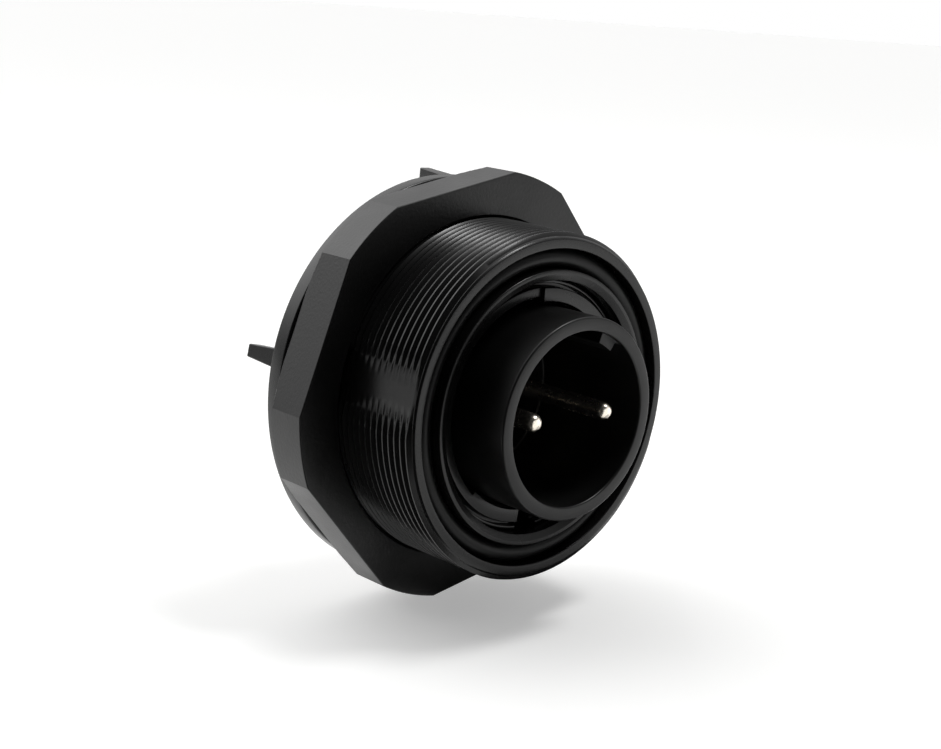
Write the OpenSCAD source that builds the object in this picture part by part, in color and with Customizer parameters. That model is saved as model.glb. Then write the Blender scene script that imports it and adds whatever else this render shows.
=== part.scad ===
// Panel-mount circular connector with two pins.
// The mating axis is the Y axis and the front faces -Y. The origin lies on it, in the flange's front face.
// The thread is drawn as rings of its profile.

/* [Barrel and flange] */
// Outer diameter of the rim
band_d = 30; // [28:0.5:34]
// Length of the plain band between the thread and the rim's chamfer
band_len = 0.05; // [0.05:0.05:1.5]
// How far the crests of the thread stand out of the rim
thread_h = 0.4; // [0.2:0.02:0.5]
// Depth of the thread
thread_depth = 0.33; // [0.15:0.01:0.4]
// Pitch of the thread
thread_pitch = 0.75; // [0.6:0.05:1.5]
// Width of the thread's crests
crest_w = 0.13; // [0.08:0.01:0.2]
// Width of the thread's roots
root_w = 0.12; // [0.08:0.01:0.2]
// Plain stretch between the flange and the thread
thread_start = 0.75; // [0.5:0.05:2]
// Length of the barrel, from the flange's front face to the rim
barrel_len = 13.6; // [12.6:0.2:18]
// How far the flange stands out of the thread
flange_w = 3.05; // [2.8:0.05:5]
// Thickness of the flange
flange_t = 1.7; // [1.6:0.1:3]
// Chamfer on the flange's edges
flange_edge = 0.2; // [0.1:0.05:0.4]
// Chamfer on the outside of the rim
rim_chamfer = 0.15; // [0.1:0.05:0.6]
// Depth of the two mould flats below the crests of the thread
flat_depth = 0.36; // [0.34:0.01:0.39]
// Direction of the first mould flat, counted from +X towards +Z
flat_turn = 170; // [0:1:359]

/* [Mouth] */
// Width of the rim's face outside the seal groove, with its chamfer
rim_w = 0.95; // [0.8:0.05:1.3]
// Width of the seal groove in the rim's face
groove_w = 1.85; // [1.4:0.05:2.2]
// Width of the land between the groove and the bore
land_w = 0.95; // [0.7:0.01:1.1]
// Depth of the bevel at the mouth of the bore
bevel_depth = 0.28; // [0.1:0.02:0.5]
// Width of the bevel at the mouth of the bore
bevel_w = 0.6; // [0.2:0.05:0.65]
// Height of the shoulder in the bore above the flange's front face
shoulder_h = 1.6; // [1:0.1:2.4]
// Width of the shoulder that seats the insert
shoulder_w = 1.85; // [1.6:0.01:2.6]
// How far the two flats that key the rear opening cut into it
rear_key = 0.6; // [0.3:0.05:1]

/* [Front seal] */
// Depth of the front seal's crown below the rim
front_seal_drop = 0.55; // [0.2:0.05:0.8]

/* [Panel seal] */
// Distance of the seal's middle from the flange's edge
panel_seal_inset = 1.9; // [1.3:0.05:2.1]
// Section of the panel seal
panel_seal_w = 1.1; // [0.8:0.05:1.15]
// How far the panel seal stands proud of the flange's face
panel_seal_proud = 0.05; // [0.02:0.01:0.1]

/* [Rear pegs] */
// Length of the pegs behind the flange
peg_len = 3.2; // [2:0.1:4]
// Width of a peg at its root
peg_w = 1.7; // [1.2:0.1:2.4]
// Width of a peg at its tip
peg_tip_w = 1.15; // [0.8:0.05:1.2]
// Radial thickness of a peg
peg_t = 1.3; // [0.8:0.1:1.6]
// How far the pegs stand out of the flange's edge
peg_out = 0.2; // [0:0.05:0.4]
// Direction of the first pair of pegs, counted from +X towards +Z
peg_turn_a = 170; // [150:1:190]
// Direction of the second pair of pegs, counted from +X towards +Z
peg_turn_b = 88; // [70:1:110]

/* [Panel nut] */
// Wall of the nut at the middle of its flats
nut_wall = 2.9; // [2.2:0.05:4]
// How far the cropped corners stand out beyond the flats
nut_crop = 1.25; // [0.8:0.05:1.8]
// Thickness of the nut
nut_t = 4.4; // [3:0.05:5.5]
// Gap between the panel seal and the nut as it is stored
nut_gap = 0.07; // [0.05:0.01:8]
// Direction of the normal of one of the nut's flats
nut_turn = 101; // [0:1:120]
// Height of the chamfer on the back of the nut's corners
nut_chamfer_h = 0.55; // [0.2:0.05:0.8]
// Width of the chamfer on the back of the nut's corners
nut_chamfer_w = 1.1; // [0.5:0.1:1.3]
// Chamfer at both mouths of the nut's bore
nut_lead = 0.45; // [0.2:0.05:0.6]

/* [Contact insert] */
// Wall of the collar
collar_wall = 1.23; // [1:0.01:1.6]
// How far the collar stands in front of the rim
collar_lead = 4.05; // [3:0.05:6]
// Depth of the socket inside the collar
socket_depth = 12; // [10:0.1:13]
// Rounding chamfer on the collar's front edges
collar_edge = 0.15; // [0.05:0.05:0.3]
// How far the insert stands behind the flange
insert_tail = 3; // [1:0.1:4]
// Direction of the key inside the collar
key_turn = 60; // [0:1:359]
// Angle that the key spans
key_span = 15; // [8:1:24]
// How far the key stands out of the socket's wall
key_h = 0.86; // [0.4:0.02:1.2]
// Setback of the key from the collar's front
key_setback = 0.86; // [0.4:0.02:2]

/* [Insert seal] */
// Section of the seal round the insert's foot
insert_seal_w = 1.4; // [1:0.1:1.8]

/* [Retaining ring] */
// Gap between the bore and the ring's outer lip
lip_gap = 0.13; // [0.1:0.01:0.4]
// Width of the ring's outer lip
lip_w = 0.3; // [0.2:0.02:0.5]
// Width of the channel between the lip and the crown
moat_w = 0.32; // [0.3:0.02:0.6]
// Width of the ring's crown
crown_w = 1.24; // [1:0.02:1.5]
// How much thinner the narrow stretch of the crown is
crown_thin = 0.39; // [0.2:0.01:0.6]
// Gap between the crown and the collar
crown_clear = 0.36; // [0.2:0.02:0.5]
// Depth of the ring's floor below the rim
ring_floor_drop = 2.3; // [2:0.1:2.8]
// Thickness of the ring below that floor
ring_t = 3.1; // [2:0.1:4]
// Depth of the crown's high stretch below the rim
crown_high_drop = 1; // [0.6:0.05:1.2]
// Depth of the crown's low stretch below the rim
crown_low_drop = 1.35; // [1.2:0.05:1.6]
// Depth of the lip below the rim
lip_drop = 1.5; // [1.2:0.05:1.8]
// Depth of the spanner slot below the rim
slot_drop = 3.4; // [2.9:0.1:4]
// Start of the spanner slot
slot_from = 264; // [240:1:266]
// End of the spanner slot
slot_to = 277; // [268:1:290]
// Where the high stretch of the crown ends
high_to = 91; // [60:1:120]
// Where the narrow stretch of the crown ends
narrow_to = 227; // [200:1:240]

/* [Contacts] */
// Diameter of the contact pins
pin_d = 1.6; // [1:0.1:2]
// Distance between the contact pins
pin_pitch = 8.6; // [6:0.1:9.5]
// Distance of the pins' rounded tips behind the collar's front
pin_setback = 0.48; // [0.2:0.02:3]
// How far the neck in the insulator stands out of the pin
contact_neck = 0.2; // [0.16:0.02:0.4]
// How far the shoulder that seats each contact stands out of its neck
contact_shoulder = 0.3; // [0.2:0.05:0.6]
// Thickness of the insulator in front of that shoulder
contact_web = 2.05; // [1.5:0.05:3]
// Diameter of the tails for soldering
tail_d = 1; // [0.6:0.1:1.2]
// Length of the tails behind the insert
tail_len = 4; // [2:0.1:8]

/* [Fits] */
// Radial clearance of the nut on the thread
nut_clear = 0.05; // [0.02:0.01:0.1]
// Radial clearance of pieces that seat in each other
seat_clear = 0.05; // [0.02:0.01:0.1]
// Clearance left beside a seal in its groove
seal_clear = 0.05; // [0.02:0.01:0.1]
// Radial clearance of the contacts in the insert
contact_clear = 0.02; // [0.01:0.01:0.05]

/* [Hidden] */
$fn = 96;
cut = 1;
half_turn = 180;
nut_sides = 6;

band_r = band_d / 2;
thread_r = band_r + thread_h;
flange_r = thread_r + flange_w;
rim_z = barrel_len;
thread_z = rim_z - rim_chamfer - band_len;
root_r = thread_r - thread_depth;
flank_w = (thread_pitch - crest_w - root_w) / 2;
crest_count = floor((thread_z - thread_start + root_w) / thread_pitch);

groove_out_r = band_r - rim_w;
groove_in_r = groove_out_r - groove_w;
bore_r = groove_in_r - land_w;
rear_r = bore_r - shoulder_w;
rear_flats = 2 * (rear_r - rear_key);

front_seal_w = groove_w - 2 * seal_clear;
front_seal_r = (groove_out_r + groove_in_r) / 2;
groove_depth = front_seal_drop + front_seal_w + seal_clear;

panel_seal_r = flange_r - panel_seal_inset;
panel_groove_w = panel_seal_w + 2 * seal_clear;
panel_groove_depth = panel_seal_w + seal_clear - panel_seal_proud;

nut_z = panel_seal_proud + nut_gap;
nut_bore_r = thread_r + nut_clear;
nut_flat_r = nut_bore_r + nut_wall;
nut_crop_r = nut_flat_r + nut_crop;

lip_out_r = bore_r - lip_gap;
lip_in_r = lip_out_r - lip_w;
crown_out_r = lip_in_r - moat_w;
crown_in_r = crown_out_r - crown_w;
crown_narrow_r = crown_in_r + crown_thin;
ring_z = rim_z - ring_floor_drop;

collar_r = crown_in_r - crown_clear;
socket_r = collar_r - collar_wall;
collar_z = rim_z + collar_lead;
floor_z = collar_z - socket_depth;
foot_r = bore_r - seat_clear;
foot_z = ring_z - ring_t;
tail_z = -flange_t - insert_tail;

seal_groove_r = bore_r - insert_seal_w - 2 * seal_clear;
seal_groove_h = insert_seal_w + 2 * seal_clear;
seal_z = shoulder_h + (foot_z - shoulder_h) / 3;

pin_r = pin_d / 2;
neck_r = pin_r + contact_neck;
contact_shoulder_r = neck_r + contact_shoulder;
tip_z = collar_z - pin_setback - pin_r;
contact_step_z = floor_z - contact_web;

// Turns a shape that points up so that it points to the front
module facing() {
    rotate([90, 0, 0]) children();
}

// Straight tube between two heights
module tube(outer_r, inner_r, low, high) {
    translate([0, 0, low])
    difference() {
        cylinder(r = outer_r, h = high - low);
        translate([0, 0, -cut]) cylinder(r = inner_r, h = high - low + 2 * cut);
    }
}

// Part of a tube between two angles
module sector(outer_r, inner_r, low, high, from, to) {
    rotate([0, 0, from])
    rotate_extrude(angle = to - from)
    translate([inner_r, low])
    square([outer_r - inner_r, high - low]);
}

// Ring of round section
module seal_ring(middle_r, section, height) {
    translate([0, 0, height])
    rotate_extrude()
    translate([middle_r, 0])
    circle(d = section);
}

// Two flat sides at a distance from the axis, as the shape between them
module between_flats(across, low, high, width) {
    translate([-across / 2, -width / 2, low]) cube([across, width, high - low]);
}

// Moulded peg behind the flange, narrower at its tip, with its root on the flange's edge
module peg(turn) {
    rotate([0, 0, turn])
    translate([flange_r + peg_out - peg_t, 0, -flange_t])
    rotate([0, 90, 0])
    linear_extrude(peg_t)
    polygon([[-cut / 2, -peg_w / 2], [0, -peg_w / 2], [peg_len, -peg_tip_w / 2],
             [peg_len, peg_tip_w / 2], [0, peg_w / 2], [-cut / 2, peg_w / 2]]);
}

// Section of one ring of the thread, from root to root
function crest(low) =
    [[root_r, low], [thread_r, low + flank_w], [thread_r, low + flank_w + crest_w],
     [root_r, low + 2 * flank_w + crest_w]];

// Outside of the flange and the barrel, turned about the axis
module body_outside() {
    flange = [[0, -flange_t], [flange_r - flange_edge, -flange_t], [flange_r, flange_edge - flange_t],
              [flange_r, -flange_edge], [flange_r - flange_edge, 0], [root_r, 0]];
    thread = [for (i = [0 : crest_count - 1]) each crest(thread_start + i * thread_pitch)];
    rim = [[root_r, thread_z], [band_r, thread_z], [band_r, rim_z - rim_chamfer],
           [band_r - rim_chamfer, rim_z], [0, rim_z]];
    rotate_extrude() polygon(concat(flange, thread, rim));
}

// Hollow of the body: rear opening, bore and bevelled mouth
module body_hollow() {
    intersection() {
        translate([0, 0, -flange_t - cut]) cylinder(r = rear_r, h = flange_t + shoulder_h + 2 * cut);
        between_flats(rear_flats, -flange_t - cut, shoulder_h + cut, 2 * rear_r + cut);
    }
    translate([0, 0, shoulder_h]) cylinder(r = bore_r, h = rim_z - shoulder_h + cut);
    translate([0, 0, rim_z - bevel_depth]) cylinder(r1 = bore_r, r2 = bore_r + bevel_w, h = bevel_depth);
}

// Flange, barrel and pegs, moulded in one piece
module panel_body() {
    color([0.05, 0.05, 0.055])
    facing()
    difference() {
        union() {
            body_outside();
            for (turn = [peg_turn_a, peg_turn_b, peg_turn_a + half_turn, peg_turn_b + half_turn])
                peg(turn);
        }
        body_hollow();
        tube(groove_out_r, groove_in_r, rim_z - groove_depth, rim_z + cut);
        tube(panel_seal_r + panel_groove_w / 2, panel_seal_r - panel_groove_w / 2, -panel_groove_depth, cut);
        for (turn = [flat_turn, flat_turn + half_turn])
            rotate([0, 0, turn])
            translate([thread_r - flat_depth, -thread_r, 0])
            cube([thread_r, 2 * thread_r, thread_z]);
    }
}

// Blank of the nut before it is cut to a hexagon, with the chamfer on the corners' back
module nut_blank() {
    rotate_extrude()
    polygon([[0, 0], [nut_crop_r - nut_chamfer_w, 0], [nut_crop_r, nut_chamfer_h],
             [nut_crop_r, nut_t], [0, nut_t]]);
}

// Hexagon nut with cropped corners
module panel_nut() {
    color([0.06, 0.06, 0.065])
    facing()
    translate([0, 0, nut_z])
    difference() {
        intersection() {
            nut_blank();
            rotate([0, 0, nut_turn + half_turn / nut_sides])
            cylinder(r = nut_flat_r / cos(half_turn / nut_sides), h = nut_t, $fn = 6);
        }
        translate([0, 0, -cut]) cylinder(r = nut_bore_r, h = nut_t + 2 * cut);
        translate([0, 0, nut_t - nut_lead])
        cylinder(r1 = nut_bore_r, r2 = nut_bore_r + nut_lead, h = nut_lead);
        cylinder(r1 = nut_bore_r + nut_lead, r2 = nut_bore_r, h = nut_lead);
    }
}

// Rubber ring that seals the flange against the panel
module panel_seal() {
    color([0.1, 0.1, 0.1])
    facing()
    seal_ring(panel_seal_r, panel_seal_w, panel_seal_proud - panel_seal_w / 2);
}

// Rubber ring in the groove of the rim's face
module front_seal() {
    color([0.12, 0.12, 0.12])
    facing()
    seal_ring(front_seal_r, front_seal_w, rim_z - front_seal_drop - front_seal_w / 2);
}

// Rubber ring round the foot of the insert
module insert_seal() {
    color([0.1, 0.1, 0.1])
    facing()
    seal_ring(bore_r - seal_clear - insert_seal_w / 2, insert_seal_w, seal_z);
}

// Ring that holds the insert down in the bore, with a crown of two heights and a spanner slot
module retaining_ring() {
    root = ring_z - cut / 2;
    slot_middle = (slot_from + slot_to) / 2;
    color([0.05, 0.05, 0.055])
    facing()
    difference() {
        union() {
            tube(foot_r, crown_in_r, foot_z, ring_z);
            tube(lip_out_r, lip_in_r, root, rim_z - lip_drop);
            tube(crown_out_r, crown_in_r, root, rim_z - crown_high_drop);
        }
        sector(lip_in_r, collar_r, rim_z - crown_low_drop, rim_z + cut, high_to, slot_middle);
        sector(crown_narrow_r, collar_r, ring_z, rim_z + cut, high_to, narrow_to);
        sector(bore_r + cut, collar_r - cut, rim_z - slot_drop, rim_z + cut, slot_from, slot_to);
    }
}

// Outside of the insulator, turned about the axis: tail, foot and collar
module insert_outside() {
    tail_r = rear_r - seat_clear;
    intersection() {
        translate([0, 0, tail_z]) cylinder(r = tail_r, h = shoulder_h - tail_z + cut);
        between_flats(rear_flats - 2 * seat_clear, tail_z, shoulder_h + cut, 2 * rear_r);
    }
    rotate_extrude()
    polygon([[0, shoulder_h], [foot_r, shoulder_h], [foot_r, foot_z], [collar_r, foot_z],
             [collar_r, collar_z - collar_edge], [collar_r - collar_edge, collar_z], [0, collar_z]]);
}

// Insulator with its collar, the key inside it and the seats of the contacts
module contact_insert() {
    color([0.04, 0.04, 0.045])
    facing() {
        difference() {
            insert_outside();
            translate([0, 0, floor_z]) cylinder(r = socket_r, h = socket_depth + cut);
            translate([0, 0, collar_z - collar_edge])
            cylinder(r1 = socket_r, r2 = socket_r + collar_edge, h = collar_edge);
            tube(foot_r + cut, seal_groove_r, seal_z - seal_groove_h / 2, seal_z + seal_groove_h / 2);
            for (side = [-1, 1])
                translate([side * pin_pitch / 2, 0, 0]) {
                    translate([0, 0, contact_step_z - cut])
                    cylinder(r = neck_r + contact_clear, h = contact_web + 2 * cut);
                    translate([0, 0, tail_z - cut])
                    cylinder(r = contact_shoulder_r + contact_clear, h = contact_step_z - tail_z + cut);
                }
        }
        sector(socket_r + collar_wall / 2, socket_r - key_h, floor_z - cut / 2, collar_z - key_setback,
               key_turn - key_span / 2, key_turn + key_span / 2);
    }
}

// Turned contact: pin with a rounded tip, neck in the insulator, seating shoulder and tail
module contact(side) {
    color([0.8, 0.77, 0.7])
    facing()
    translate([side * pin_pitch / 2, 0, 0]) {
        translate([0, 0, contact_step_z]) cylinder(r = pin_r, h = tip_z - contact_step_z);
        translate([0, 0, tip_z]) sphere(r = pin_r);
        translate([0, 0, contact_step_z - cut]) cylinder(r = neck_r, h = contact_web + cut);
        translate([0, 0, tail_z]) cylinder(r = contact_shoulder_r, h = contact_step_z - tail_z);
        translate([0, 0, tail_z - tail_len]) cylinder(d = tail_d, h = tail_len + cut);
    }
}

// Contact on the left as seen from the front
module contact_pin_left() {
    contact(-1);
}

// Contact on the right as seen from the front
module contact_pin_right() {
    contact(1);
}

panel_body();
panel_nut();
panel_seal();
front_seal();
retaining_ring();
insert_seal();
contact_insert();
contact_pin_left();
contact_pin_right();
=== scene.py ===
"""Looks of the panel-mount circular connector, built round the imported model.

Lengths are millimetres until a mesh is made. Heights run along the mating axis, from the flange's front
face towards the front, and turns are counted about that axis from +X towards +Z.
"""

import logging
import math
from dataclasses import dataclass, field
from enum import Enum
from typing import Any, Callable, Sequence

import bmesh
import bpy
from mathutils import Matrix, Vector


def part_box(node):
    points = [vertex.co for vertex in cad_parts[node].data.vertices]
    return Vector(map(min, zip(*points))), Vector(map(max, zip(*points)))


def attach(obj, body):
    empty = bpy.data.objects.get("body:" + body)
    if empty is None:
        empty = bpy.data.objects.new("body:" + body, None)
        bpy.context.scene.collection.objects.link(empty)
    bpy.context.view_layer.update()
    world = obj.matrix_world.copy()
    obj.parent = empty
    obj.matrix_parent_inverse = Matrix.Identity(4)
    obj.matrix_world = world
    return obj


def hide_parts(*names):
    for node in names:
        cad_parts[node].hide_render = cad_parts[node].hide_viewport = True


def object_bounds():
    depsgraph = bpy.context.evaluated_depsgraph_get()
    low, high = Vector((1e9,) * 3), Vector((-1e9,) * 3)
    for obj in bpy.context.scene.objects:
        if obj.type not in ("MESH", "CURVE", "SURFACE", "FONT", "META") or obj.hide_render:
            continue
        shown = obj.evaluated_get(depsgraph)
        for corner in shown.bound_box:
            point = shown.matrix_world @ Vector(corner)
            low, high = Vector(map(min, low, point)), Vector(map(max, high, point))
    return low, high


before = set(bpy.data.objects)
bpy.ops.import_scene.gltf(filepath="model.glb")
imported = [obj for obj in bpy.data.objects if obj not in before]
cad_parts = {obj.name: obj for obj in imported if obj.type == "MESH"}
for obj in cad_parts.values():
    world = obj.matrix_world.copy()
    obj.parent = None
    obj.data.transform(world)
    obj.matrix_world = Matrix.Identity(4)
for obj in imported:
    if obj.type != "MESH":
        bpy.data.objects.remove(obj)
cad_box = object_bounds()

log = logging.getLogger("connector")

# Metres in a millimetre.
MM = 0.001
FULL_TURN = 2 * math.pi
# Points that lie closer than this, in metres, become one.
WELD = 1e-7
# Share of a side that the rounding at one of its ends may take.
ROUNDING_SHARE = 0.48
# A pair of flats cuts where the cosine of the turn from their middles is above this.
FLAT_REACH = 0.5
# Radians by which Blender's wave pattern turns in one unit of length at a scale of one.
WAVE_RATE = 20
# Sockets of a Mix node that take and give colours.
MIX_A, MIX_B, MIX_RESULT = 6, 7, 2
# Radius and height at a turn.
Ring = Callable[[float], tuple[float, float]]
# Radius, height and rounding.
Corner = tuple[float, float, float]


class Body(Enum):
    """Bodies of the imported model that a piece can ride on."""

    FIXED = "body"
    NUT = "nut"


def linear(code: str) -> tuple[float, float, float, float]:
    """Turns an sRGB hex code into a linear colour.

    Args:
        code: Six hex digits after a # sign.

    Returns:
        Red, green, blue and an alpha of one.
    """
    parts = [int(code[i:i + 2], 16) / 255 for i in (1, 3, 5)]
    red, green, blue = (p / 12.92 if p <= 0.04045 else ((p + 0.055) / 1.055) ** 2.4 for p in parts)
    return red, green, blue, 1.0


def add_node(tree: bpy.types.NodeTree, kind: str, settings: dict[str, Any] | None = None,
             links: dict[str | int, bpy.types.NodeSocket] | None = None) -> bpy.types.Node:
    """Adds a node, sets its values and links its inputs.

    Args:
        tree: Tree that takes the node.
        kind: Type of the node.
        settings: Values by the name of an input or of a property of the node.
        links: Sockets that feed the inputs, by the input's name or number.

    Returns:
        The new node.
    """
    node = tree.nodes.new(kind)
    for name, value in (settings or {}).items():
        if name in node.inputs:
            node.inputs[name].default_value = value
        else:
            setattr(node, name, value)
    for name, socket in (links or {}).items():
        tree.links.new(socket, node.inputs[name])
    return node


def soft_ramp(tree: bpy.types.NodeTree, value: bpy.types.NodeSocket, span: tuple[float, float],
              ends: tuple[float, float] = (0.0, 1.0)) -> bpy.types.NodeSocket:
    """Adds a soft ramp to a tree.

    Args:
        tree: Tree that takes the ramp.
        value: What it follows.
        span: Values at which it starts and ends.
        ends: What it gives there.

    Returns:
        Its result.
    """
    settings = {"interpolation_type": "SMOOTHSTEP", "From Min": span[0], "From Max": span[1],
                "To Min": ends[0], "To Max": ends[1]}
    return add_node(tree, "ShaderNodeMapRange", settings, {"Value": value}).outputs["Result"]


def product(tree: bpy.types.NodeTree, first: bpy.types.NodeSocket,
            second: bpy.types.NodeSocket) -> bpy.types.NodeSocket:
    """Product of two values of a tree."""
    node = add_node(tree, "ShaderNodeMath", {"operation": "MULTIPLY"}, {0: first, 1: second})
    return node.outputs["Value"]


def per_metre(size: float) -> float:
    """How often a size in millimetres fits in a metre, which is a pattern's scale."""
    return 1 / (size * MM)


@dataclass(frozen=True)
class MouldedPlastic:
    """Black plastic from a mould: two near tones, a fine grain and a sheen that changes a little.

    The width and height of the grain, and the width of the drift between the tones, are millimetres.
    """

    name: str
    dark: str
    light: str
    roughness: tuple[float, float]
    grain: float
    grain_height: float
    specular: float
    flow: float = 6.0
    flow_detail: float = 4.0
    grain_detail: float = 2.0
    noise_span: tuple[float, float] = (0.35, 0.65)
    ior: float = 1.5

    def material(self) -> bpy.types.Material:
        """Builds the finish.

        Returns:
            The material with its nodes.
        """
        made = bpy.data.materials.new(self.name)
        made.use_nodes = True
        tree = made.node_tree
        tree.nodes.clear()
        place = add_node(tree, "ShaderNodeTexCoord").outputs["Object"]
        flow = add_node(tree, "ShaderNodeTexNoise",
                        {"Scale": per_metre(self.flow), "Detail": self.flow_detail}, {"Vector": place})
        grain = add_node(tree, "ShaderNodeTexNoise",
                         {"Scale": per_metre(self.grain), "Detail": self.grain_detail}, {"Vector": place})
        tone = add_node(tree, "ShaderNodeMix", {"data_type": "RGBA"}, {"Factor": flow.outputs["Fac"]})
        tone.inputs[MIX_A].default_value = linear(self.dark)
        tone.inputs[MIX_B].default_value = linear(self.light)
        first, last = self.noise_span
        low, high = self.roughness
        rough = add_node(tree, "ShaderNodeMapRange",
                         {"From Min": first, "From Max": last, "To Min": low, "To Max": high},
                         {"Value": flow.outputs["Fac"]})
        bump = add_node(tree, "ShaderNodeBump", {"Strength": 1.0, "Distance": self.grain_height * MM},
                        {"Height": grain.outputs["Fac"]})
        shader = add_node(tree, "ShaderNodeBsdfPrincipled",
                          {"IOR": self.ior, "Specular IOR Level": self.specular},
                          {"Base Color": tone.outputs[MIX_RESULT], "Roughness": rough.outputs["Result"],
                           "Normal": bump.outputs["Normal"]})
        add_node(tree, "ShaderNodeOutputMaterial", None, {"Surface": shader.outputs["BSDF"]})
        return made


@dataclass(frozen=True)
class TurnedPlating:
    """Bright nickel over turned brass: a warm white metal with faint rings left by the lathe.

    The pitch and height of the rings, and the width of the smears in the polish, are millimetres.
    """

    name: str
    colour: str
    roughness: float
    ring_pitch: float
    ring_height: float
    ring_waver: float = 0.4
    smear: float = 0.6
    smear_detail: float = 3.0
    smear_span: tuple[float, float] = (0.7, 1.4)

    def material(self) -> bpy.types.Material:
        """Builds the finish.

        Returns:
            The material with its nodes.
        """
        made = bpy.data.materials.new(self.name)
        made.use_nodes = True
        tree = made.node_tree
        tree.nodes.clear()
        place = add_node(tree, "ShaderNodeTexCoord").outputs["Object"]
        rate = FULL_TURN * per_metre(self.ring_pitch) / WAVE_RATE
        rings = add_node(tree, "ShaderNodeTexWave",
                         {"bands_direction": "Y", "Scale": rate, "Distortion": self.ring_waver},
                         {"Vector": place})
        smears = add_node(tree, "ShaderNodeTexNoise",
                          {"Scale": per_metre(self.smear), "Detail": self.smear_detail}, {"Vector": place})
        low, high = (self.roughness * share for share in self.smear_span)
        rough = add_node(tree, "ShaderNodeMapRange", {"To Min": low, "To Max": high},
                         {"Value": smears.outputs["Fac"]})
        bump = add_node(tree, "ShaderNodeBump", {"Strength": 1.0, "Distance": self.ring_height * MM},
                        {"Height": rings.outputs["Fac"]})
        shader = add_node(tree, "ShaderNodeBsdfPrincipled",
                          {"Base Color": linear(self.colour), "Metallic": 1.0},
                          {"Roughness": rough.outputs["Result"], "Normal": bump.outputs["Normal"]})
        add_node(tree, "ShaderNodeOutputMaterial", None, {"Surface": shader.outputs["BSDF"]})
        return made


# Glass-filled nylon from a polished mould: near black, an even satin sheen, fibres only as a faint grain.
BODY_NYLON = MouldedPlastic(
    "moulded_glass_filled_nylon", dark="#0B0B0B", light="#121212", roughness=(0.23, 0.29),
    grain=0.22, grain_height=0.0020, specular=0.45)
# Nylon from a spark-eroded mould: the fine pits scatter light, so the nut looks greyer and drier.
NUT_NYLON = MouldedPlastic(
    "spark_grained_nylon", dark="#0C0C0C", light="#131313", roughness=(0.30, 0.38),
    grain=0.26, grain_height=0.0150, specular=0.52)
# Unfilled polyester from a polished mould: the deepest black of the part, with a soft even gleam.
INSERT_POLYESTER = MouldedPlastic(
    "polished_moulded_polyester", dark="#0A0A0A", light="#111111", roughness=(0.32, 0.40),
    grain=0.30, grain_height=0.0020, specular=0.45)
# Nitrile rubber from a mould: black and dull, with only a weak, narrow sheen.
SEAL_RUBBER = MouldedPlastic(
    "moulded_nitrile_rubber", dark="#0A0A0A", light="#111111", roughness=(0.32, 0.40),
    grain=0.30, grain_height=0.0020, specular=0.25, flow=3.0)
# Nickel over brass, turned and barrel polished: a warm white gloss that mirrors softly.
CONTACT_PLATING = TurnedPlating(
    "polished_nickel_plate", colour="#FAF2E4", roughness=0.24, ring_pitch=0.754, ring_height=0.0006)


@dataclass(frozen=True)
class Reach:
    """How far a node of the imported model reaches, in millimetres."""

    middle: float
    radius: float
    back: float
    front: float

    @classmethod
    def of(cls, node: str) -> "Reach":
        """Reads the reach of a node.

        Args:
            node: Name of the node.

        Returns:
            Its middle along X, its radius there, and its heights at the back and the front.
        """
        low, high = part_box(node)
        return cls((low.x + high.x) / 2 / MM, (high.x - low.x) / 2 / MM, -high.y / MM, -low.y / MM)


def on_axis(turn: float, radius: float, height: float) -> Vector:
    """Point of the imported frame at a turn, a radius and a height."""
    return Vector((radius * math.cos(turn), -height, radius * math.sin(turn))) * MM


def level(radius: float, height: float) -> Ring:
    """Ring of one radius and one height all round."""
    return lambda turn: (radius, height)


def cut_by_flats(turn: float, radius: float, half: float, middle: float = 0.0) -> float:
    """Radius after two flats have cut it.

    Args:
        turn: Turn of the point.
        radius: Its radius before.
        half: Distance of either flat from the axis.
        middle: Turn at which one of the flats lies.

    Returns:
        The radius that is left.
    """
    return min(radius, half / max(abs(math.cos(turn - middle)), FLAT_REACH))


def even_turns(count: int) -> list[float]:
    """Turns at even steps, with the first repeated a full turn later."""
    return [FULL_TURN * i / count for i in range(count + 1)]


def rounded(corners: Sequence[Corner], closed: bool = False, steps: int = 4) -> list[tuple[float, float]]:
    """Rounds the corners of a section.

    Args:
        corners: Radius, height and rounding of each corner, in order along the section.
        closed: Whether the last corner is joined to the first.
        steps: Number of chords in each rounding.

    Returns:
        Points of the section as radius and height.
    """
    points: list[tuple[float, float]] = []
    count = len(corners)
    for i, (radius, height, bend) in enumerate(corners):
        here = Vector((radius, height))
        ends = not closed and i in (0, count - 1)
        if bend == 0 or ends:
            points.append((here.x, here.y))
            continue
        before = Vector(corners[i - 1][:2]) - here
        after = Vector(corners[(i + 1) % count][:2]) - here
        half = before.angle(after) / 2
        most = min(before.length, after.length) * ROUNDING_SHARE
        reach = min(bend / math.tan(half), most)
        start, end = before.normalized() * reach, after.normalized() * reach
        centre = (start + end).normalized() * reach / math.cos(half)
        first, last = start - centre, end - centre
        for k in range(steps + 1):
            share = k / steps
            spoke = first.slerp(last, share) * first.length
            points.append((here.x + centre.x + spoke.x, here.y + centre.y + spoke.y))
    return points


def levels(points: Sequence[tuple[float, float]]) -> list[Ring]:
    """Plain rings through the points of a section."""
    return [level(radius, height) for radius, height in points]


def add_skin(shape: bmesh.types.BMesh, rings: Sequence[Ring], turns: Sequence[float],
             closed: bool = True) -> None:
    """Adds a grid of rings about the mating axis to a shape.

    Args:
        shape: Mesh that takes the grid.
        rings: Rings in order along the section.
        turns: Turns at which each ring has a point.
        closed: Whether the last ring is joined to the first.
    """
    grid = [[shape.verts.new(on_axis(turn, *ring(turn))) for turn in turns] for ring in rings]
    pairs = list(zip(grid, grid[1:]))
    if closed:
        pairs.append((grid[-1], grid[0]))
    for lower, upper in pairs:
        for i in range(len(turns) - 1):
            shape.faces.new((lower[i], lower[i + 1], upper[i + 1], upper[i]))


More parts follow.
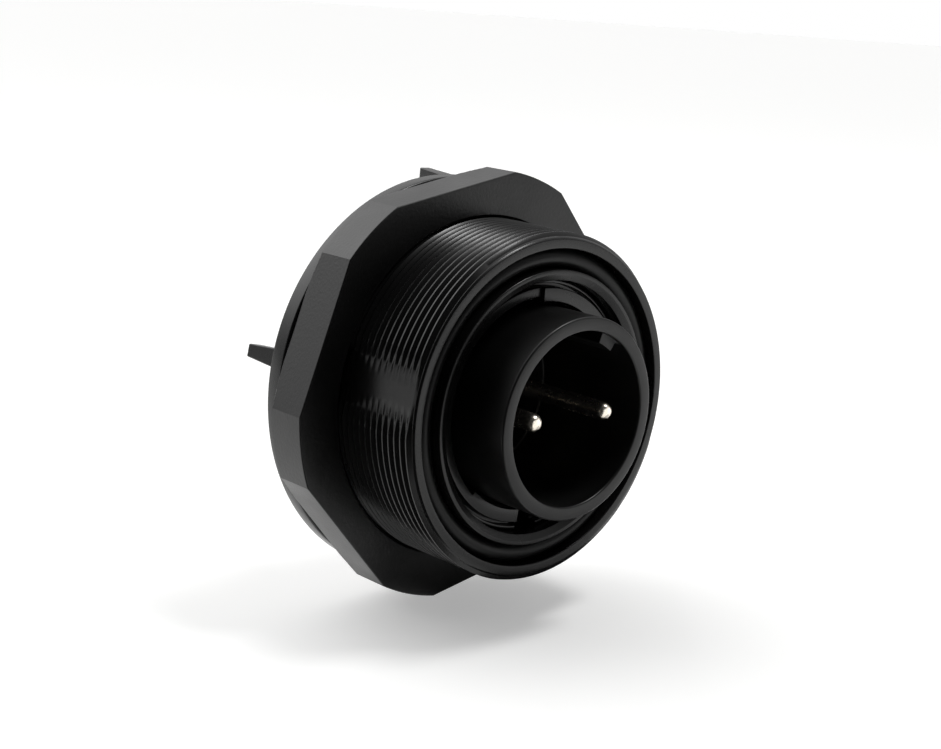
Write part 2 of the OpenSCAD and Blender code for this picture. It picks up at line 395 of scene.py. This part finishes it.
def add_block(shape: bmesh.types.BMesh, base: Sequence[Vector], top: Sequence[Vector],
              edge: float) -> None:
    """Adds a closed block with softened edges to a shape.

    Args:
        shape: Mesh that takes the block.
        base: Corners of one end, in order.
        top: Corners of the other end, in the same order.
        edge: Rounding of its edges in millimetres.
    """
    lower = [shape.verts.new(p) for p in base]
    upper = [shape.verts.new(p) for p in top]
    count = len(lower)
    faces = [shape.faces.new(lower), shape.faces.new(list(reversed(upper)))]
    for i in range(count):
        j = (i + 1) % count
        faces.append(shape.faces.new((lower[j], lower[i], upper[i], upper[j])))
    edges = list({e for f in faces for e in f.edges})
    bmesh.ops.bevel(shape, geom=edges, offset=edge * MM, segments=3, profile=0.5, affect="EDGES")


def close_shape(shape: bmesh.types.BMesh, name: str, sharp: float = 40.0) -> bpy.types.Object:
    """Welds a shape and makes an object of it, smooth but for its sharp edges.

    Args:
        shape: Mesh to weld, which is freed.
        name: Name of the object.
        sharp: Angle in degrees above which an edge stays sharp.

    Returns:
        The new object.
    """
    bmesh.ops.remove_doubles(shape, verts=shape.verts, dist=WELD)
    bmesh.ops.dissolve_degenerate(shape, edges=shape.edges, dist=WELD)
    bmesh.ops.recalc_face_normals(shape, faces=shape.faces)
    limit = math.radians(sharp)
    for face in shape.faces:
        face.smooth = True
    for edge in shape.edges:
        edge.smooth = len(edge.link_faces) == 2 and edge.calc_face_angle() < limit
    mesh = bpy.data.meshes.new(name)
    shape.to_mesh(mesh)
    shape.free()
    made = bpy.data.objects.new(name, mesh)
    bpy.context.scene.collection.objects.link(made)
    even = made.modifiers.new("even_shading", "WEIGHTED_NORMAL")
    even.keep_sharp = True
    return made


def settle(piece: bpy.types.Object, material: bpy.types.Material, body: Body, node: str) -> None:
    """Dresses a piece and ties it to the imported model.

    Args:
        piece: Piece to settle.
        material: Its finish.
        body: Body that it rides on.
        node: Node that it stands for.
    """
    piece.data.materials.clear()
    piece.data.materials.append(material)
    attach(piece, body.value)
    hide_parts(node)
    log.info("%s: %d faces, rides on %s", piece.name, len(piece.data.polygons), body.value)


@dataclass
class PanelBody:
    """Flange, threaded barrel, stepped mouth and rear pegs, moulded in one piece.

    The profile holds places in the thread's pitch with shares of its height. Edges, bends, fine and soft are
    roundings.
    """

    reach: Reach = field(default_factory=lambda: Reach.of("panel_body"))
    seal: Reach = field(default_factory=lambda: Reach.of("front_seal"))
    panel_seal: Reach = field(default_factory=lambda: Reach.of("panel_seal"))
    crest_r: float = 15.4
    root_r: float = 15.07
    band_r: float = 15.0
    pitch: float = 0.75
    thread_from: float = 0.32
    lead_band: float = 0.05
    runout: float = 0.4
    lead_in: float = 0.1
    profile: tuple[tuple[float, float], ...] = (
        (0.10, 0.0), (0.415, 0.97), (0.435, 1.0), (0.605, 1.0), (0.625, 0.97), (0.94, 0.0))
    rim_chamfer: float = 0.15
    flat_r: float = 15.04
    flat_turn: float = 170.0
    flange_r: float = 18.45
    flange_t: float = 1.7
    edge: float = 0.2
    fine: float = 0.05
    soft: float = 0.1
    bevel_bends: tuple[float, float] = (0.08, 0.06)
    groove_bend: float = 0.2
    rim_bend: float = 0.12
    bore_r: float = 11.25
    bevel_w: float = 0.6
    bevel_depth: float = 0.28
    shoulder: float = 1.6
    rear_r: float = 9.4
    rear_flats: float = 17.6
    seal_clear: float = 0.05
    peg_turns: tuple[float, ...] = (170.0, 88.0, 350.0, 268.0)
    peg_w: float = 1.7
    peg_tip_w: float = 1.15
    peg_t: float = 1.3
    peg_out: float = 0.2
    peg_sink: float = 0.5
    peg_edge: float = 0.12
    columns: int = 360
    sharp: float = 24.0

    def rear_ring(self, height: float) -> Ring:
        """Ring of the rear opening, with the two flats that key it."""
        return lambda turn: (cut_by_flats(turn, self.rear_r, self.rear_flats / 2), height)

    def thread_to(self) -> float:
        """Height at which the thread ends below the rim."""
        return self.reach.front - self.rim_chamfer - self.lead_band

    def thread_ring(self, place: float, share: float) -> Ring:
        """Line of the thread's profile, led round the barrel as a helix.

        Args:
            place: Place of the line in turns from the start of the thread.
            share: Share of the thread's height that the line lies at.

        Returns:
            The line as a ring that climbs by one pitch.
        """
        low, high = self.thread_from, self.thread_to()
        flat = math.radians(self.flat_turn)

        def ring(turn: float) -> tuple[float, float]:
            height = low + self.pitch * (place + turn / FULL_TURN)
            height = min(max(height, low), high)
            fade = min(1.0, (height - low) / self.runout, (high - height) / self.lead_in)
            root = self.band_r + (self.root_r - self.band_r) * fade
            radius = root + (self.crest_r - root) * share * fade
            return cut_by_flats(turn, radius, self.flat_r, flat), height

        return ring

    def thread(self) -> list[Ring]:
        """Lines of the whole thread, from the rim to the flange."""
        turns = math.ceil((self.thread_to() - self.thread_from) / self.pitch)
        lines = [(k + phase, share) for k in range(-1, turns) for phase, share in self.profile]
        return [self.thread_ring(place, share) for place, share in reversed(lines)]

    def groove(self, seal: Reach) -> tuple[float, float, float]:
        """Inner radius, outer radius and floor of the groove that holds a seal."""
        inner = seal.radius - (seal.front - seal.back) - self.seal_clear
        return inner, seal.radius + self.seal_clear, seal.back - self.seal_clear

    def mouth(self) -> list[tuple[float, float]]:
        """Section from the shoulder in the bore to the outside of the rim."""
        rim = self.reach.front
        inner, outer, floor = self.groove(self.seal)
        low_bend, high_bend = self.bevel_bends
        return rounded([
            (self.rear_r, self.shoulder, 0), (self.bore_r, self.shoulder, self.soft),
            (self.bore_r, rim - self.bevel_depth, low_bend), (self.bore_r + self.bevel_w, rim, high_bend),
            (inner, rim, self.soft), (inner, floor, self.groove_bend), (outer, floor, self.groove_bend),
            (outer, rim, self.soft), (self.band_r - self.rim_chamfer, rim, self.rim_bend),
            (self.band_r, rim - self.rim_chamfer, self.rim_bend), (self.band_r, self.thread_to(), 0)])

    def flange(self) -> list[tuple[float, float]]:
        """Section from the root of the barrel round the flange to its rear opening."""
        inner, outer, floor = self.groove(self.panel_seal)
        back = -self.flange_t
        return rounded([
            (self.band_r, self.thread_from, 0), (self.band_r, 0, self.soft), (inner, 0, self.fine),
            (inner, floor, self.soft), (outer, floor, self.soft), (outer, 0, self.fine),
            (self.flange_r, 0, self.edge), (self.flange_r, back, self.edge), (self.rear_r, back, 0)])

    def add_peg(self, shape: bmesh.types.BMesh, degrees: float) -> None:
        """Adds one of the pegs behind the flange.

        Args:
            shape: Mesh that takes the peg.
            degrees: Its direction.
        """
        turn = math.radians(degrees)
        side = on_axis(turn + FULL_TURN / 4, 1, 0)
        inner = self.flange_r + self.peg_out - self.peg_t
        root = (self.peg_sink - self.flange_t, self.flange_r - self.edge / 2, self.peg_w)
        tip = (self.reach.back, self.flange_r + self.peg_out, self.peg_tip_w)
        ends = []
        for height, outer, width in (root, tip):
            near, far = on_axis(turn, inner, height), on_axis(turn, outer, height)
            half = side * width / 2
            ends.append([near - half, far - half, far + half, near + half])
        add_block(shape, ends[0], ends[1], self.peg_edge)

    def build(self) -> bpy.types.Object:
        """Builds the moulding.

        Returns:
            The piece, not yet dressed.
        """
        shape = bmesh.new()
        rings = [self.rear_ring(self.shoulder)] + levels(self.mouth()[1:]) + self.thread()
        rings += levels(self.flange()[:-1]) + [self.rear_ring(-self.flange_t)]
        add_skin(shape, rings, even_turns(self.columns))
        for degrees in self.peg_turns:
            self.add_peg(shape, degrees)
        return close_shape(shape, "moulded_body", self.sharp)

    def dress(self) -> None:
        """Builds and settles the moulding."""
        settle(self.build(), BODY_NYLON.material(), Body.FIXED, "panel_body")


@dataclass
class PanelNut:
    """Large hexagon nut with cropped corners."""

    reach: Reach = field(default_factory=lambda: Reach.of("panel_nut"))
    across: float = 36.7
    crop_r: float = 19.6
    bore_r: float = 15.45
    turn: float = 101.0
    chamfer_w: float = 1.1
    chamfer_h: float = 0.55
    lead: float = 0.2
    edge: float = 0.14
    sides: int = 6
    columns: int = 240
    chamfer_rows: int = 6
    edge_rows: int = 4
    sharp: float = 20.0

    def outside(self, turn: float, limit: float) -> float:
        """Radius of the hexagon at a turn, cropped to a limit."""
        step = FULL_TURN / self.sides
        away = (turn - math.radians(self.turn) + step / 2) % step - step / 2
        return min(limit, self.across / 2 / math.cos(away))

    def side_ring(self, inset: float, height: float, limit: float | None = None) -> Ring:
        """Ring of the outside, set in from the hexagon and cropped."""
        crop = self.crop_r if limit is None else limit
        return lambda turn: (self.outside(turn, crop) - inset, height)

    def turns(self) -> list[float]:
        """Turns of the nut's columns, with one at each edge between a flat and a cropped corner."""
        half = math.acos(self.across / 2 / self.crop_r)
        step = FULL_TURN / self.sides
        marks = [math.radians(self.turn) + k * step + s * half for k in range(self.sides) for s in (-1, 1)]
        turns = sorted({t % FULL_TURN for t in marks} | set(even_turns(self.columns)[:-1]))
        return turns + [turns[0] + FULL_TURN]

    def build(self) -> bpy.types.Object:
        """Builds the nut.

        Returns:
            The piece, not yet dressed.
        """
        back, front = self.reach.back, self.reach.front
        mouth = self.bore_r + self.lead
        rings = levels([(self.bore_r, front - self.lead), (self.bore_r, back + self.lead), (mouth, back)])
        for k in range(self.chamfer_rows + 1):
            share = k / self.chamfer_rows
            limit = self.crop_r - self.chamfer_w * (1 - share)
            # The rounding of the rear edge ends a third of the way up the chamfer.
            inset = self.edge * max(0.0, 1 - 3 * share) ** 2
            rings.append(self.side_ring(inset, back + self.chamfer_h * share, limit))
        for k in range(self.edge_rows + 1):
            bend = k / self.edge_rows * math.pi / 2
            inset, drop = self.edge * (1 - math.cos(bend)), self.edge * (1 - math.sin(bend))
            rings.append(self.side_ring(inset, front - drop))
        rings.append(level(mouth, front))
        shape = bmesh.new()
        add_skin(shape, rings, self.turns())
        return close_shape(shape, "hexagon_nut", self.sharp)

    def dress(self) -> None:
        """Builds and settles the nut."""
        settle(self.build(), NUT_NYLON.material(), Body.NUT, "panel_nut")


@dataclass
class RubberRing:
    """Rubber ring of round section."""

    node: str
    name: str
    columns: int = 220
    rows: int = 28

    def dress(self) -> None:
        """Builds and settles the ring."""
        reach = Reach.of(self.node)
        section = (reach.front - reach.back) / 2
        middle, height = reach.radius - section, (reach.front + reach.back) / 2
        bends = [FULL_TURN * i / self.rows for i in range(self.rows)]
        points = [(middle + section * math.cos(b), height + section * math.sin(b)) for b in bends]
        shape = bmesh.new()
        add_skin(shape, levels(points), even_turns(self.columns))
        piece = close_shape(shape, self.name)
        settle(piece, SEAL_RUBBER.material(), Body.FIXED, self.node)


@dataclass
class RetainingRing:
    """Ring round the foot of the collar: a crown of two heights, an outer lip and a spanner slot.

    Drops are measured from the body's rim. The edge, fine and the bend are roundings.
    """

    reach: Reach = field(default_factory=lambda: Reach.of("retaining_ring"))
    rim: float = field(default_factory=lambda: Reach.of("panel_body").front)
    crown_in: float = 9.26
    crown_narrow: float = 9.65
    crown_out: float = 10.5
    lip_in: float = 10.82
    lip_out: float = 11.12
    floor_drop: float = 2.3
    high_drop: float = 1.0
    low_drop: float = 1.35
    lip_drop: float = 1.5
    slot_drop: float = 3.4
    slot: tuple[float, float] = (264.0, 277.0)
    high_to: float = 91.0
    narrow_to: float = 227.0
    edge: float = 0.09
    fine: float = 0.03
    foot_bend: float = 0.05
    ledge: float = 0.01
    column_step: float = 1.5
    step_gap: float = 0.15

    def section(self, degrees: float) -> list[tuple[float, float]]:
        """Section of the ring at a turn.

        Args:
            degrees: The turn.

        Returns:
            Points of the closed section, as many at each turn.
        """
        slotted = self.slot[0] < degrees < self.slot[1]
        low = self.high_to < degrees < self.slot[1]
        narrow = self.high_to < degrees < self.narrow_to
        inner = self.crown_narrow if narrow else self.crown_in + self.ledge
        floor = self.rim - self.floor_drop
        crown = self.rim - (self.low_drop if low else self.high_drop)
        lip = self.rim - self.lip_drop
        points = rounded([
            (self.crown_in, self.reach.back, 0), (self.crown_in, floor, self.fine), (inner, floor, self.fine),
            (inner, crown, self.edge), (self.crown_out, crown, self.edge),
            (self.crown_out, floor, self.foot_bend), (self.lip_in, floor, self.foot_bend),
            (self.lip_in, lip, self.edge), (self.lip_out, lip, self.edge),
            (self.lip_out, floor, self.foot_bend), (self.reach.radius, floor, self.foot_bend),
            (self.reach.radius, self.reach.back, 0)], True)
        if slotted:
            return [(r, min(h, self.rim - self.slot_drop)) for r, h in points]
        return points

    def turns(self) -> list[float]:
        """Turns of the ring's columns in degrees, with two close together at each step."""
        gap = self.step_gap
        steps = (*self.slot, self.high_to, self.narrow_to)
        marks = {s + side * gap for s in steps for side in (-1, 1)}
        plain = {self.column_step * i for i in range(round(360 / self.column_step) + 1)}
        near = {p for p in plain if any(abs(p - s) < 2 * gap for s in steps)}
        return sorted((plain - near) | marks)

    def dress(self) -> None:
        """Builds and settles the ring."""
        turns = [math.radians(t) for t in self.turns()]
        sections = {math.radians(t): self.section(t) for t in self.turns()}
        count = len(self.section(0))
        rings: list[Ring] = [lambda turn, i=i: sections[turn][i] for i in range(count)]
        shape = bmesh.new()
        add_skin(shape, rings, turns)
        piece = close_shape(shape, "castellated_ring")
        settle(piece, BODY_NYLON.material(), Body.FIXED, "retaining_ring")


@dataclass
class ContactInsert:
    """Insulator: tail, foot, collar with its inner key, and the seats of the contacts.

    Edges, bends, fine and soft are roundings.
    """

    reach: Reach = field(default_factory=lambda: Reach.of("contact_insert"))
    seal: Reach = field(default_factory=lambda: Reach.of("insert_seal"))
    contact: Reach = field(default_factory=lambda: Reach.of("contact_pin_right"))
    collar_r: float = 8.9
    socket_r: float = 7.67
    socket_depth: float = 12.0
    collar_edge: float = 0.17
    foot_from: float = 1.6
    foot_t: float = 6.6
    tail_r: float = 9.35
    tail_flats: float = 17.5
    tail_chamfer: float = 0.15
    fine: float = 0.05
    soft: float = 0.1
    foot_bend: float = 0.15
    floor_bend: float = 0.25
    seal_clear: float = 0.05
    key_turn: float = 60.0
    key_span: float = 15.0
    key_h: float = 0.86
    key_setback: float = 0.86
    key_sink: float = 0.4
    key_edge: float = 0.07
    neck_r: float = 1.0
    step: float = 3.6
    hole_clear: float = 0.02
    hole_over: float = 1.0
    hole_columns: int = 64
    columns: int = 288

    def tail_ring(self, height: float, inset: float = 0.0) -> Ring:
        """Ring of the tail, with the two flats that key it."""
        return lambda turn: (cut_by_flats(turn, self.tail_r, self.tail_flats / 2) - inset, height)

    def collar(self) -> list[tuple[float, float]]:
        """Section from the foot round the collar to the middle of the socket's floor."""
        foot = self.foot_from + self.foot_t
        front, floor = self.reach.front, self.reach.front - self.socket_depth
        outer = self.reach.radius
        groove = self.seal.radius - (self.seal.front - self.seal.back) - self.seal_clear
        low, high = self.seal.back - self.seal_clear, self.seal.front + self.seal_clear
        return rounded([
            (outer, self.foot_from, 0), (outer, low, self.fine), (groove, low, self.soft),
            (groove, high, self.soft), (outer, high, self.fine), (outer, foot, self.soft),
            (self.collar_r, foot, self.foot_bend), (self.collar_r, front, self.collar_edge),
            (self.socket_r, front, self.collar_edge), (self.socket_r, floor, self.floor_bend),
            (0.0, floor, 0)])

    def add_key(self, shape: bmesh.types.BMesh) -> None:
        """Adds the key that stands out of the socket's wall.

        Args:
            shape: Mesh that takes the key.
        """
        floor = self.reach.front - self.socket_depth
        ends = []
        for height in (floor - self.key_sink, self.reach.front - self.key_setback):
            turns = [math.radians(self.key_turn + self.key_span * s) for s in (-0.5, 0, 0.5)]
            inner = [on_axis(turn, self.socket_r - self.key_h, height) for turn in turns]
            outer = [on_axis(turn, self.socket_r + self.key_sink, height) for turn in reversed(turns)]
            ends.append(inner + outer)
        add_block(shape, ends[0], ends[1], self.key_edge)

    def drill(self, piece: bpy.types.Object) -> None:
        """Cuts the stepped seats of the two contacts.

        Args:
            piece: The insulator.
        """
        shape = bmesh.new()
        wide, narrow = self.contact.radius + self.hole_clear, self.neck_r + self.hole_clear
        back, front = self.reach.back - self.hole_over, self.reach.front
        section = [(0.0, back), (wide, back), (wide, self.step), (narrow, self.step), (narrow, front),
                   (0.0, front)]
        for side in (-1, 1):
            hole = bmesh.new()
            add_skin(hole, levels(section), even_turns(self.hole_columns), False)
            bmesh.ops.translate(hole, verts=hole.verts, vec=Vector((side * self.contact.middle * MM, 0, 0)))
            spare = bpy.data.meshes.new("seat")
            hole.to_mesh(spare)
            hole.free()
            shape.from_mesh(spare)
            bpy.data.meshes.remove(spare)
        bmesh.ops.remove_doubles(shape, verts=shape.verts, dist=WELD)
        bmesh.ops.recalc_face_normals(shape, faces=shape.faces)
        mesh = bpy.data.meshes.new("seat_cutter")
        shape.to_mesh(mesh)
        shape.free()
        cutter = bpy.data.objects.new("seat_cutter", mesh)
        bpy.context.scene.collection.objects.link(cutter)
        cut = piece.modifiers.new("contact_seats", "BOOLEAN")
        cut.object, cut.operation, cut.solver, cut.use_self = cutter, "DIFFERENCE", "EXACT", True
        # The seats are cut before the shading is evened.
        piece.modifiers.move(1, 0)
        graph = bpy.context.evaluated_depsgraph_get()
        done = bpy.data.meshes.new_from_object(piece.evaluated_get(graph))
        piece.modifiers.clear()
        piece.data = done
        bpy.data.objects.remove(cutter)

    def dress(self) -> None:
        """Builds and settles the insulator."""
        shape = bmesh.new()
        back = self.reach.back
        rings = [level(0.0, back), self.tail_ring(back, self.tail_chamfer)]
        rings += [self.tail_ring(back + self.tail_chamfer), self.tail_ring(self.foot_from)]
        rings += levels(self.collar())
        add_skin(shape, rings, even_turns(self.columns), False)
        self.add_key(shape)
        piece = close_shape(shape, "keyed_insulator")
        self.drill(piece)
        settle(piece, INSERT_POLYESTER.material(), Body.FIXED, "contact_insert")


@dataclass
class ContactPin:
    """Turned contact: pin with a rounded tip, neck, seating shoulder and solder tail.

    Bends, fine and soft are roundings.
    """

    node: str
    name: str
    pin_r: float = 0.8
    neck_r: float = 1.0
    tail_r: float = 0.5
    shoulder_from: float = -4.7
    shoulder_to: float = 3.6
    neck_to: float = 5.65
    tail_bend: float = 0.25
    fine: float = 0.05
    soft: float = 0.1
    seat_bend: float = 0.03
    neck_bend: float = 0.06
    tip_rows: int = 14
    columns: int = 64

    def section(self, reach: Reach) -> list[tuple[float, float]]:
        """Section from the end of the tail to the middle of the tip.

        Args:
            reach: How far the contact reaches.

        Returns:
            Points as radius and height.
        """
        low = rounded([
            (0.0, reach.back, 0), (self.tail_r, reach.back, self.tail_bend),
            (self.tail_r, self.shoulder_from, self.fine), (reach.radius, self.shoulder_from, self.soft),
            (reach.radius, self.shoulder_to, self.soft), (self.neck_r, self.shoulder_to, self.seat_bend),
            (self.neck_r, self.neck_to, self.neck_bend), (self.pin_r, self.neck_to, 0)])
        centre = reach.front - self.pin_r
        bends = [i / self.tip_rows * math.pi / 2 for i in range(self.tip_rows + 1)]
        return low + [(self.pin_r * math.cos(b), centre + self.pin_r * math.sin(b)) for b in bends]

    def dress(self) -> bpy.types.Object:
        """Builds and settles the contact.

        Returns:
            The piece.
        """
        reach = Reach.of(self.node)
        shape = bmesh.new()
        add_skin(shape, levels(self.section(reach)), even_turns(self.columns), False)
        bmesh.ops.translate(shape, verts=shape.verts, vec=Vector((reach.middle * MM, 0, 0)))
        piece = close_shape(shape, self.name)
        settle(piece, CONTACT_PLATING.material(), Body.FIXED, self.node)
        return piece


@dataclass(frozen=True)
class SoftLight:
    """Rectangular light that shines at the part, with its direction from there, metres and watts."""

    name: str
    way: tuple[float, float, float]
    away: float
    width: float
    height: float
    energy: float

    def hang(self) -> bpy.types.Object:
        """Hangs the light.

        Returns:
            The light in its place.
        """
        data = bpy.data.lights.new(self.name, "AREA")
        data.shape, data.energy = "RECTANGLE", self.energy
        data.size, data.size_y = self.width, self.height
        made = bpy.data.objects.new(self.name, data)
        made.location = Vector(self.way).normalized() * self.away
        made.rotation_mode = "QUATERNION"
        made.rotation_quaternion = Vector(self.way).to_track_quat("Z", "Y")
        bpy.context.scene.collection.objects.link(made)
        return made


@dataclass(frozen=True)
class Sheet:
    """Flat sheet under the part, with its reach in millimetres as the camera sees it."""

    name: str
    colour: str
    front: float
    back: float
    left: float
    right: float


# Small lamp overhead, a little to the front: short highlights on the thread and the rims.
KEY = SoftLight("key", way=(0.30, -0.25, 0.92), away=0.45, width=0.12, height=0.10, energy=0.7)
# Wide card in front of the socket: bright tips on the contacts, which lie deep in black plastic.
CONTACT_CARD = SoftLight(
    "contact_card", way=(0.30, -0.93, -0.20), away=0.30, width=0.80, height=0.70, energy=1.90)
# White table that runs to the horizon.
TABLE = Sheet("pale_table", "#E8E8E7", front=46.0, back=3000.0, left=3000.0, right=3000.0)
# Two dark sheets and a grey one, seen only in reflections: painted shade for the part's own shadow on the
# table, which the part's underside mirrors.
PAINTED_SHADE_SHEETS = (Sheet("painted_shade_sheet", "#202020", front=46.0, back=-19.0, left=24.0, right=12.0),
        Sheet("painted_shade_sheet", "#202020", front=14.0, back=4.0, left=-2.0, right=24.0),
        Sheet("painted_shade_sheet", "#C4C4C4", front=22.0, back=-4.0, left=-25.0, right=53.0))


@dataclass
class Studio:
    """Bright canopy above and behind, a dark room round the camera, and a pale table with sheets of painted
    shade.

    The canopy's spans are components of the direction that a ray comes from, and the dark room's are degrees
    from the camera.
    """

    image: tuple[int, int] = (941, 749)
    rim_pixel: tuple[float, float] = (545.4, 409.4)
    azimuth: float = -43.31
    elevation: float = 12.82
    roll: float = 3.99
    distance: float = 148.8
    focal_pixels: float = 1721.6
    sensor: float = 36.0
    rim: float = field(default_factory=lambda: Reach.of("panel_body").front)
    clip: tuple[float, float] = (0.01, 20.0)
    floor_gap: float = 0.6
    # Height of the painted shade sheets above the table, in millimetres.
    painted_shade_lift: float = 0.1
    sheet_roughness: float = 0.9
    table_glow: float = 0.36
    horizon: float = 0.39
    canopy: float = 2.6
    above: tuple[float, float] = (0.0, 0.62)
    behind: tuple[float, float] = (-0.3, 0.6)
    aside: tuple[float, float] = (-0.2, 0.5)
    aside_dim: float = 0.25
    dark_room: tuple[float, float] = (54.0, 80.0)
    room_dim: float = 0.05

    def axes(self) -> tuple[Vector, Vector, Vector]:
        """Right, up and back directions of the camera."""
        a, e, r = (math.radians(v) for v in (self.azimuth, self.elevation, self.roll))
        back = Vector((math.sin(a) * math.cos(e), -math.cos(a) * math.cos(e), math.sin(e)))
        flat = Vector((math.cos(a), math.sin(a), 0))
        tall = back.cross(flat)
        return math.cos(r) * flat + math.sin(r) * tall, math.cos(r) * tall - math.sin(r) * flat, back

    def camera(self) -> None:
        """Sets up the camera at the photograph's angle, so that the rim's middle falls on its pixel."""
        right, up, back = self.axes()
        width, height = self.image
        across = (self.rim_pixel[0] - width / 2) / self.focal_pixels * self.distance
        down = (self.rim_pixel[1] - height / 2) / self.focal_pixels * self.distance
        place = on_axis(0, 0, self.rim) + (back * self.distance - right * across + up * down) * MM
        data = bpy.data.cameras.new("camera")
        data.sensor_width, data.lens = self.sensor, self.focal_pixels / width * self.sensor
        data.clip_start, data.clip_end = self.clip
        made = bpy.data.objects.new("camera", data)
        bpy.context.scene.collection.objects.link(made)
        turn = Matrix((right, up, back)).transposed()
        made.matrix_world = Matrix.Translation(place) @ turn.to_4x4()
        bpy.context.scene.camera = made

    def world(self) -> None:
        """Lights the part from a bright canopy above and behind it, with a dark room round the camera."""
        world = bpy.data.worlds.new("white_canopy")
        world.use_nodes = True
        tree = world.node_tree
        tree.nodes.clear()
        way = add_node(tree, "ShaderNodeTexCoord").outputs["Generated"]
        split = add_node(tree, "ShaderNodeSeparateXYZ", None, {"Vector": way}).outputs
        above, behind = soft_ramp(tree, split["Z"], self.above), soft_ramp(tree, split["Y"], self.behind)
        aside = soft_ramp(tree, split["X"], self.aside, (1.0, self.aside_dim))
        canopy = product(tree, product(tree, above, behind), aside)
        glow = add_node(tree, "ShaderNodeMapRange", {"To Min": self.horizon, "To Max": self.canopy},
                        {"Value": canopy})
        towards = add_node(tree, "ShaderNodeVectorMath", {"operation": "DOT_PRODUCT"}, {0: way})
        towards.inputs[1].default_value = self.axes()[2]
        near, far = (math.cos(math.radians(angle)) for angle in self.dark_room)
        room = soft_ramp(tree, towards.outputs["Value"], (far, near), (1.0, self.room_dim))
        cast = product(tree, glow.outputs["Result"], room)
        seen = add_node(tree, "ShaderNodeLightPath").outputs["Is Camera Ray"]
        strength = add_node(tree, "ShaderNodeMix", {"B": 1.0}, {"Factor": seen, "A": cast})
        light = add_node(tree, "ShaderNodeBackground", {"Color": linear("#FFFFFF")},
                         {"Strength": strength.outputs["Result"]})
        add_node(tree, "ShaderNodeOutputWorld", None, {"Surface": light.outputs["Background"]})
        bpy.context.scene.world = world

    def lay(self, sheet: Sheet, depth: float) -> bpy.types.Object:
        """Lays a flat sheet under the part, square to the camera.

        Args:
            sheet: The sheet.
            depth: How far it lies below the part, in millimetres.

        Returns:
            The sheet in its place.
        """
        made = bpy.data.materials.new(sheet.name)
        made.use_nodes = True
        shader = made.node_tree.nodes["Principled BSDF"]
        shader.inputs["Base Color"].default_value = linear(sheet.colour)
        shader.inputs["Roughness"].default_value = self.sheet_roughness
        turn = math.radians(self.azimuth)
        ahead = Vector((-math.sin(turn), math.cos(turn), 0)) * MM
        across = Vector((math.cos(turn), math.sin(turn), 0)) * MM
        corners = ((-sheet.front, -sheet.left), (-sheet.front, sheet.right),
                   (sheet.back, sheet.right), (sheet.back, -sheet.left))
        mesh = bpy.data.meshes.new(sheet.name)
        mesh.from_pydata([ahead * a + across * b for a, b in corners], [], [(0, 1, 2, 3)])
        mesh.materials.append(made)
        piece = bpy.data.objects.new(sheet.name, mesh)
        piece.location = (0, 0, cad_box[0].z - depth * MM)
        bpy.context.scene.collection.objects.link(piece)
        return piece

    def floor(self) -> None:
        """Lays the pale table, and on it the sheets of painted shade, which only reflections show."""
        table = self.lay(TABLE, self.floor_gap)
        shader = table.data.materials[0].node_tree.nodes["Principled BSDF"]
        shader.inputs["Emission Color"].default_value = linear("#FFFFFF")
        shader.inputs["Emission Strength"].default_value = self.table_glow
        # Painted shade: dark and grey sheets that only reflections see, standing in for the part's shadow on
        # the table.
        for sheet in PAINTED_SHADE_SHEETS:
            painted_shade_sheet = self.lay(sheet, self.floor_gap - self.painted_shade_lift)
            painted_shade_sheet.visible_camera = painted_shade_sheet.visible_diffuse = painted_shade_sheet.visible_shadow = False

    def light_contacts(self, contacts: Sequence[bpy.types.Object]) -> None:
        """Hangs the card that lights the contacts alone.

        Args:
            contacts: The pieces that it lights.
        """
        card = CONTACT_CARD.hang()
        lit = bpy.data.collections.new("lit_contacts")
        for piece in contacts:
            lit.objects.link(piece)
        card.light_linking.receiver_collection = lit

    def build(self) -> None:
        """Sets up the camera, the world, the floor and the key light."""
        self.camera()
        self.world()
        self.floor()
        KEY.hang()
        bpy.context.scene.view_settings.view_transform = "Standard"


def main() -> None:
    """Builds the part and its studio; each piece logs its face count as it is settled."""
    logging.basicConfig(level=logging.INFO, format="%(name)s %(message)s")
    studio = Studio()
    studio.build()
    PanelBody().dress()
    PanelNut().dress()
    RubberRing("panel_seal", "panel_gasket").dress()
    RubberRing("front_seal", "face_gasket").dress()
    RubberRing("insert_seal", "insert_gasket").dress()
    RetainingRing().dress()
    ContactInsert().dress()
    contacts = {"contact_pin_left": "left_contact", "contact_pin_right": "right_contact"}
    studio.light_contacts([ContactPin(node, name).dress() for node, name in contacts.items()])


if __name__ == "__main__":
    main()
